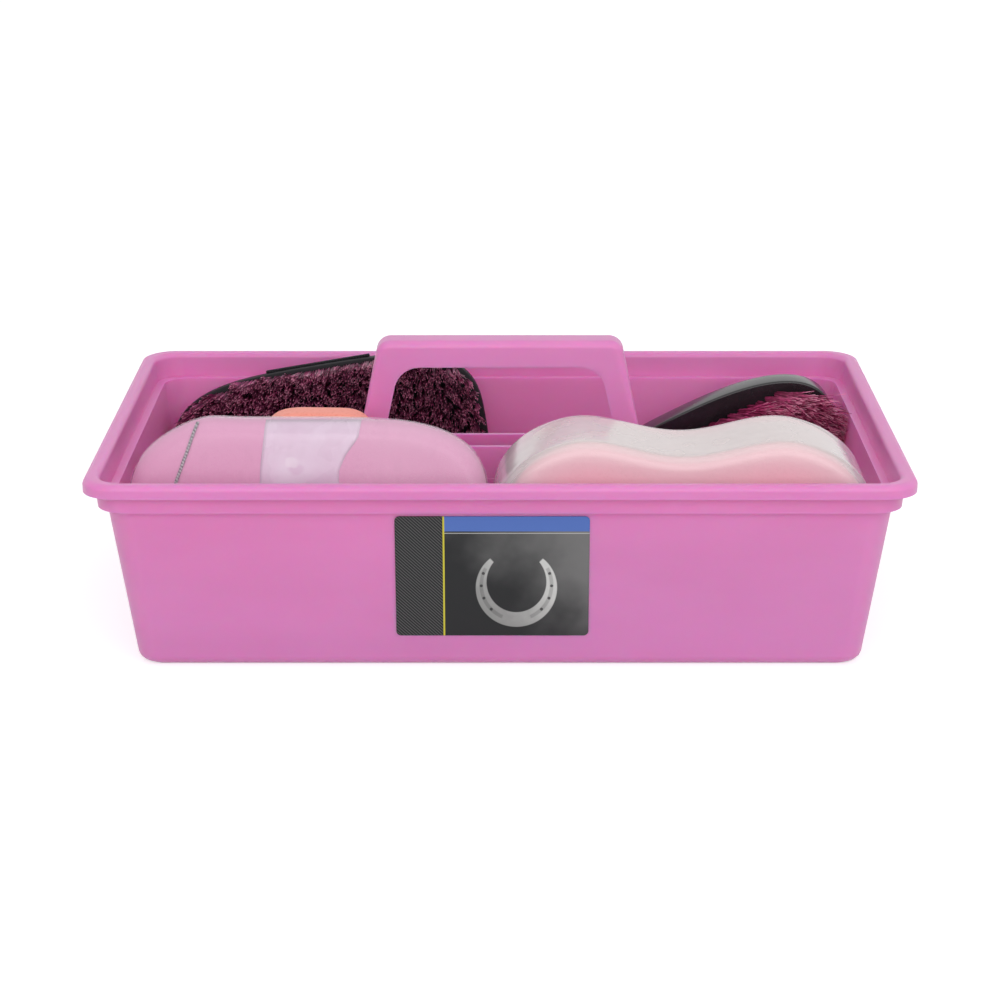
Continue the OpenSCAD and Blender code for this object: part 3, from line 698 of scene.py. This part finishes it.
def makeScrews(pose):
    s = screwShape
    head = bmesh.new()
    profile = [head.verts.new((s["radius"] * math.cos(a), 0, s["dome"] * math.sin(a)))
               for a in np.linspace(0, math.pi / 2, 7)]
    profile.insert(0, head.verts.new((s["radius"] * 0.96, 0, -0.5 * mm)))
    line = [head.edges.new(pair) for pair in zip(profile, profile[1:])]
    bmesh.ops.spin(head, geom=profile + line, cent=(0, 0, 0), axis=(0, 0, 1), angle=2 * math.pi, steps=28,
                   use_merge=True)
    bmesh.ops.remove_doubles(head, verts=head.verts, dist=1e-6)
    for side in (-1, 1):
        everything = head.verts[:] + head.edges[:] + head.faces[:]
        bmesh.ops.bisect_plane(head, geom=everything, plane_co=(side * s["slot"], 0, 0), plane_no=(1, 0, 0))
    centres = [(f, f.calc_center_median()) for f in head.faces]
    trough = [f for f, centre in centres if abs(centre.x) < s["slot"] and centre.z > 0.3 * mm]
    dug = bmesh.ops.extrude_face_region(head, geom=trough)["geom"]
    bmesh.ops.delete(head, geom=trough, context="FACES_ONLY")
    sunk = [g for g in dug if isinstance(g, bmesh.types.BMVert)]
    bmesh.ops.translate(head, verts=sunk, vec=(0, 0, -s["deep"]))
    bmesh.ops.recalc_face_normals(head, faces=head.faces)
    mesh = bpy.data.meshes.new("head")
    head.to_mesh(mesh)
    head.free()
    bm = bmesh.new()
    top = bodyBrush["thick"] / 2 + strapShape["thick"] + 0.3 * mm
    for turn, (x, z) in enumerate([(-1, -1), (1, -1), (-1, 1), (1, 1)]):
        one = mesh.copy()
        one.transform(pose @ Matrix.Translation((x * s["x"], top, z * s["z"]))
                      @ Matrix.Rotation(-math.pi / 2, 4, "X") @ Matrix.Rotation(0.7 * turn + 0.4, 4, "Z"))
        bm.from_mesh(one)
    screws = newPiece("strapScrews", bm, finish["screw"])
    screws.data.set_sharp_from_angle(angle=math.radians(40))
    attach(screws, "body_brush")
    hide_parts("body_brush_screws")


def makeBodyBrush():
    b = bodyBrush
    pose = poseOf("body_brush_stock", b["tilt"], b["lean"])
    makeStock("bodyStock", oval(*b["half"], b["full"]), b, pose, "body_brush", "body_brush_stock")
    setTufts("bodyBristles", bodyTuft, pose, -b["thick"] / 2 + rootDepth, ovalReach(b), finish["bodyFibre"],
             "body_brush", "body_brush_bristles")
    makeStrap(pose)
    makeScrews(pose)


makeBodyBrush()


# dandy brush
dandyBrush = {"half": (81 * mm, 35 * mm), "thick": 17 * mm, "edge": 1.2 * mm, "full": 2.5, "tilt": 26.5,
              "margin": 8 * mm}
dandyTuft = {"seed": 11, "kinds": 8, "rows": 8, "cols": 20, "halfZ": 21 * mm, "strands": 44,
             "length": 33.6 * mm, "uneven": 0.2, "thick": 0.24 * mm, "taper": 0.6, "cuts": 2,
             "rootR": 1.7 * mm, "fan": 2.6 * mm, "stray": 2.4 * mm, "splay": (0.24, 0.05, 0.06),
             "sweep": (0.50, -0.12), "twist": 0.30, "tousle": 0.10, "drop": -2.5 * mm}


def makeDandyBrush():
    d = dandyBrush
    pose = poseOf("dandy_brush_stock", d["tilt"], 0.0)
    makeStock("dandyStock", oval(*d["half"], d["full"]), d, pose, "dandy_brush", "dandy_brush_stock")
    setTufts("dandyBristles", dandyTuft, pose, -d["thick"] / 2 + rootDepth, ovalReach(d),
             finish["dandyFibre"], "dandy_brush", "dandy_brush_bristles")


makeDandyBrush()


# pink sponge in its film; seam points are x and z, paper rows are left, right and z, in mm
pinkSponge = {"half": (93.5 * mm, 59.5 * mm), "thick": 40 * mm, "edge": 10 * mm, "full": 3.4,
              "press": 0.03, "lean": 14.0, "film": 0.6 * mm, "swell": (0.25 * mm, 40.0, 3.0),
              "pleat": 0.7 * mm, "paperUnder": 0.45 * mm, "paperThick": 0.10 * mm,
              "seam": [(-57.4, 58.2), (-62.2, 44), (-75.5, 8)], "seamW": 1.7 * mm, "seamOver": 0.2 * mm,
              "seamThick": 0.12 * mm, "crimpRise": 0.2 * mm, "crimpPitch": 1.6,
              "band": [(-22, 28, 59.3), (-22.8, 26.5, 50), (-24, 20, 41), (-24.8, 16.5, 33),
                       (-25.2, 15.5, 10), (-25.2, 15.5, -47)]}


def finishSponge(name, bm, material, pose, body, node):
    bmesh.ops.transform(bm, matrix=pose, verts=bm.verts)
    sponge = newPiece(name, bm, material)
    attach(sponge, body)
    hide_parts(node)


# a point of a strip laid on the film, found by looking at it from the front
def onFilm(tree, x, z, lift):
    hit = tree.ray_cast(Vector((x, -0.2, z)), Vector((0, 1, 0)))[0]
    if hit is None:
        near = tree.find_nearest(Vector((x, -0.02, z)))
        return near[0] + near[1] * lift
    return hit + Vector((0, -lift, 0))


# the pack stands up a little where its seam ends, at the upper left
seamPeak = {"x": -58 * mm, "wide": 17 * mm, "rise": 3.2 * mm, "foot": 36 * mm, "top": 58 * mm}


def lifted(bm):
    s = seamPeak
    for vert in bm.verts:
        near = math.exp(-((vert.co.x - s["x"]) / s["wide"]) ** 2)
        vert.co.z += s["rise"] * near * soft(vert.co.z, s["foot"], s["top"])
    bm.normal_update()


def thicken(piece, by):
    wall = piece.modifiers.new("thickness", "SOLIDIFY")
    wall.thickness, wall.offset = by, 0.0


def makePinkPack():
    p = pinkSponge
    pose = poseOf("pink_sponge", 0.0, p["lean"])
    outline = even(pressed(oval(*p["half"], p["full"]), p["press"]), 160)
    bm = loft(slabRings(outline, p["thick"], p["edge"], faceRows=16, girthRows=6))
    swell(bm, *p["swell"])
    lifted(bm)
    finishSponge("pinkFoamBlock", bm, finish["pinkFoam"], pose, "pink_sponge_pack", "pink_sponge")

    rings = slabRings(outline, p["thick"], p["edge"], grow=p["film"], faceRows=22, edgeRows=9, girthRows=8)
    film = loft(rings)
    swell(film, *p["swell"])
    for vert in film.verts:  # pleats gather behind the ends
        end = soft(abs(vert.co.x), 74 * mm, 94 * mm) * soft(vert.co.y, -12 * mm, 10 * mm)
        fold = noise.noise(Vector((vert.co.x * 30, vert.co.y * 30, vert.co.z * 190)))
        vert.co += vert.normal * end * p["pleat"] * fold
    lifted(film)
    # slight film haze everywhere, plus a painted sheen that grows towards the right and the top
    paint(film, "hazeAndSheen", lambda co: (0.02 + 0.09 * soft(co.x, -60 * mm, 60 * mm)
                                     + 0.04 * soft(co.z, 35 * mm, 58 * mm)))
    tree = BVHTree.FromBMesh(film)

    # the paper lies under the film
    band = bmesh.new()
    bmesh.ops.create_grid(band, x_segments=24, y_segments=48, size=1)
    rows = np.array(p["band"]) * mm
    for vert in band.verts:
        z = rows[-1, 2] + (rows[0, 2] - rows[-1, 2]) * (vert.co.y + 1) / 2
        left, right = (np.interp(z, rows[::-1, 2], rows[::-1, i]) for i in (0, 1))
        vert.co = onFilm(tree, left + (right - left) * (vert.co.x + 1) / 2, z, -p["paperUnder"])
    bmesh.ops.transform(band, matrix=pose, verts=band.verts)
    paper = newPiece("pinkBand", band, finish["band"])
    thicken(paper, p["paperThick"])
    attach(paper, "pink_sponge_pack")
    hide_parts("pink_sponge_label")

    seam = bmesh.new()
    bmesh.ops.create_grid(seam, x_segments=6, y_segments=90, size=1)
    line = np.array(p["seam"]) * mm
    for vert in seam.verts:
        z = line[-1, 1] + (line[0, 1] - line[-1, 1]) * (vert.co.y + 1) / 2
        x = np.interp(z, line[::-1, 1], line[::-1, 0])
        wave = 0.5 + 0.5 * math.cos(z / mm * 2 * math.pi / p["crimpPitch"])
        crimp = p["crimpRise"] * wave * (1 - vert.co.x ** 2)
        vert.co = onFilm(tree, x + vert.co.x * p["seamW"] / 2, z, p["seamOver"] + crimp)
    bmesh.ops.transform(seam, matrix=pose, verts=seam.verts)
    strip = newPiece("pinkSeam", seam, finish["seam"])
    thicken(strip, p["seamThick"])
    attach(strip, "pink_sponge_pack")
    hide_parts("pink_sponge_seal")

    bmesh.ops.transform(film, matrix=pose, verts=film.verts)
    wrap = newPiece("pinkFilmWrap", film, finish["pinkFilm"])
    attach(wrap, "pink_sponge_pack")
    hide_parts("pink_sponge_wrap")
    print("pink pack made")


makePinkPack()


# hourglass sponge in its film; the foam stops short of the film at both ends
hourSponge = {"half": (98 * mm, 62.5 * mm), "thick": 60 * mm, "edge": 7 * mm, "full": 2.9, "press": 0.06,
              "waist": 0.19, "hump": 63 * mm, "film": 0.6 * mm, "short": (7 * mm, 4 * mm),
              "shortFrom": 30 * mm, "swell": (0.3 * mm, 34.0, 9.0), "fold": 0.3 * mm}


# depth inside an outline, zero on it and negative within
def rimNear(co, outline):
    return -np.sqrt(((outline - (co.x, co.z)) ** 2).sum(axis=1).min())


def makeHourPack():
    h = hourSponge
    pose = poseOf("hourglass_sponge", 0.0, 0.0)
    block = pressed(oval(*h["half"], h["full"]), h["press"])
    outline = even(waisted(block, h["waist"], h["hump"]), 200)
    inner = outline.copy()
    for side, short in zip((-1, 1), h["short"]):
        ends = np.clip((side * inner[:, 0] - h["shortFrom"]) / (h["half"][0] - h["shortFrom"]), 0, 1) ** 2
        inner[:, 0] -= side * ends * short
    bm = loft(slabRings(inner, h["thick"], h["edge"], faceRows=16, girthRows=8))
    swell(bm, *h["swell"])
    front = -h["thick"] / 2

    # painted reflection: the girth is painted pale, and the faces pale towards their edges as a painted
    # highlight
    def paintedPaleSheen(co):
        girth = soft(co.y, front + 0.5 * mm, front + 8 * mm) * (1 - soft(co.y, 12 * mm, 30 * mm))
        return max(girth, 0.55 * soft(rimNear(co, inner), -26 * mm, -2 * mm))

    paint(bm, "pale", paintedPaleSheen)
    finishSponge("roseFoamBlock", bm, finish["roseFoam"], pose, "hourglass_sponge_pack", "hourglass_sponge")

    rings = slabRings(outline, h["thick"], h["edge"], grow=h["film"], faceRows=22, edgeRows=9, girthRows=14)
    film = loft(rings)
    for vert in film.verts:  # loose film at both ends
        end = soft(abs(vert.co.x), 66 * mm, 94 * mm)
        fold = noise.noise(Vector((vert.co.x * 40, vert.co.y * 120, vert.co.z * 60)))
        vert.co += vert.normal * end * h["fold"] * (fold - 1)
    film.normal_update()

    # hazy where the loose film gathers at the ends; over the girth a painted reflection, and a painted
    # highlight line along the front edge
    def filmHazeAndSheen(co):
        # painted reflection over the girth
        girth = 0.32 * soft(co.y, front + 1 * mm, front + 8 * mm)
        # painted highlight along the front edge
        line = 0.22 * math.exp(-((co.y - front - 2.2 * mm) / mm) ** 2)
        return 0.03 + girth + 0.16 * soft(abs(co.x), 72 * mm, 96 * mm) + line

    paint(film, "hazeAndSheen", filmHazeAndSheen)
    bmesh.ops.transform(film, matrix=pose, verts=film.verts)
    wrap = newPiece("hourFilmWrap", film, finish["hourFilm"])
    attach(wrap, "hourglass_sponge_pack")
    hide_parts("hourglass_sponge_wrap")
    print("hourglass pack made")


makeHourPack()


# tack sponge
tackSponge = {"half": (33 * mm, 56.5 * mm), "thick": 22 * mm, "edge": 6 * mm, "full": 4.5,
              "swell": (0.35 * mm, 55.0, 17.0)}


def makeTackSponge():
    t = tackSponge
    pose = poseOf("tack_sponge", 0.0, 0.0)
    outline = even(oval(*t["half"], t["full"]), 140)
    bm = loft(slabRings(outline, t["thick"], t["edge"], faceRows=12, girthRows=4))
    swell(bm, *t["swell"])
    finishSponge("apricotFoamBlock", bm, finish["apricotFoam"], pose, "tack_sponge", "tack_sponge")
    print("tack sponge made")


makeTackSponge()

scene.view_settings.view_transform = "Standard"
